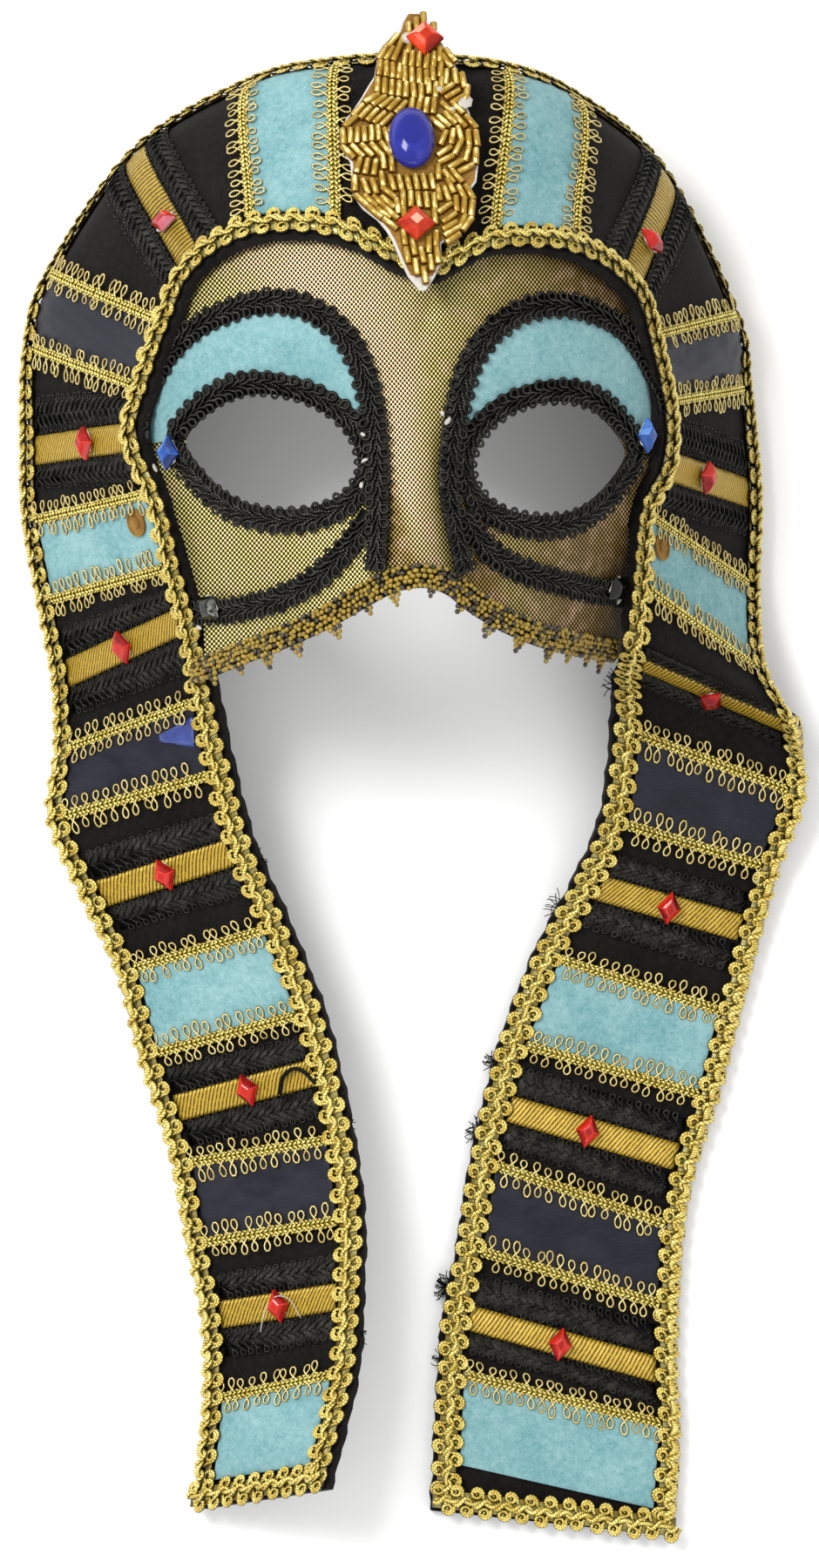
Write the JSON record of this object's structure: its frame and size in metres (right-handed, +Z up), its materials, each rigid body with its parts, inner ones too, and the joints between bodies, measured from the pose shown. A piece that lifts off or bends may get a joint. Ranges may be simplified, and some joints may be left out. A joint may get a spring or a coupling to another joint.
{
  "type": "egyptian queen costume mask",
  "caption": "Half mask in gold weave with open eyes, under a striped felt headdress whose two long lappets hang past the chin, with braid, stones and a beaded crest.",
  "frame": {"origin": "middle of the bounding box at the level of the table the mask lies on", "axes": "+Y from the hems of the lappets to the crest, +X to the right as seen from above, +Z up from the table out of the face"},
  "size_m": [0.2014, 0.3783, 0.0967],
  "materials": {
    "lame_weave": "metallic gold and black lame weave glued over a stiff shell",
    "black_felt": "thick matt craft felt with black satin gimp strips sewn on",
    "turquoise_felt": "soft mottled craft felt",
    "navy_satin": "smooth satin with a slight sheen",
    "gold_braid": "metallic gold scroll gimp and loop braid",
    "gold_ribbon": "metallic gold ribbon with fine brown lines",
    "black_gimp": "satin scroll gimp",
    "red_stone": "clear red faceted acrylic",
    "blue_stone": "polished deep blue",
    "clear_stone": "clear foiled acrylic over black",
    "white_felt": "stiff off-white felt",
    "bugle_beads": "gold lined bugle beads",
    "seed_beads": "black and gold seed beads",
    "brass_rivet": "dull brass"
  },
  "bodies": {
    "root": {"face_mask": "lame_weave", "headdress_base": "black_felt", "outer_border_braid": "gold_braid", "inner_border_braid": "gold_braid", "bead_trim": "seed_beads", "hem_braid_left": "gold_braid", "turquoise_panel_crown_left": "turquoise_felt", "navy_panel_temple_left": "navy_satin", "turquoise_panel_cheek_left": "turquoise_felt", "navy_panel_jaw_left": "navy_satin", "turquoise_panel_upper_lappet_left": "turquoise_felt", "navy_panel_lower_lappet_left": "navy_satin", "turquoise_panel_hem_left": "turquoise_felt", "gold_ribbon_1_left": "gold_ribbon", "red_stone_1_left": "red_stone", "gold_ribbon_2_left": "gold_ribbon", "red_stone_2_left": "red_stone", "gold_ribbon_3_left": "gold_ribbon", "red_stone_3_left": "red_stone", "gold_ribbon_4_left": "gold_ribbon", "red_stone_4_left": "red_stone", "gold_ribbon_5_left": "gold_ribbon", "red_stone_5_left": "red_stone", "gold_ribbon_6_left": "gold_ribbon", "red_stone_6_left": "red_stone", "strap_rivet_left": "brass_rivet", "eye_gimp_left": "black_gimp", "eyelid_panel_left": "turquoise_felt", "blue_stone_left": "blue_stone", "clear_stone_left": "clear_stone", "hem_braid_right": "gold_braid", "turquoise_panel_crown_right": "turquoise_felt", "navy_panel_temple_right": "navy_satin", "turquoise_panel_cheek_right": "turquoise_felt", "navy_panel_jaw_right": "navy_satin", "turquoise_panel_upper_lappet_right": "turquoise_felt", "navy_panel_lower_lappet_right": "navy_satin", "turquoise_panel_hem_right": "turquoise_felt", "gold_ribbon_1_right": "gold_ribbon", "red_stone_1_right": "red_stone", "gold_ribbon_2_right": "gold_ribbon", "red_stone_2_right": "red_stone", "gold_ribbon_3_right": "gold_ribbon", "red_stone_3_right": "red_stone", "gold_ribbon_4_right": "gold_ribbon", "red_stone_4_right": "red_stone", "gold_ribbon_5_right": "gold_ribbon", "red_stone_5_right": "red_stone", "gold_ribbon_6_right": "gold_ribbon", "red_stone_6_right": "red_stone", "strap_rivet_right": "brass_rivet", "eye_gimp_right": "black_gimp", "eyelid_panel_right": "turquoise_felt", "blue_stone_right": "blue_stone", "clear_stone_right": "clear_stone", "ornament_backing": "white_felt", "ornament_beads": "bugle_beads", "blue_cabochon": "blue_stone", "crest_stone": "red_stone", "lower_ornament_stone": "red_stone"}
  },
  "joints": []
}
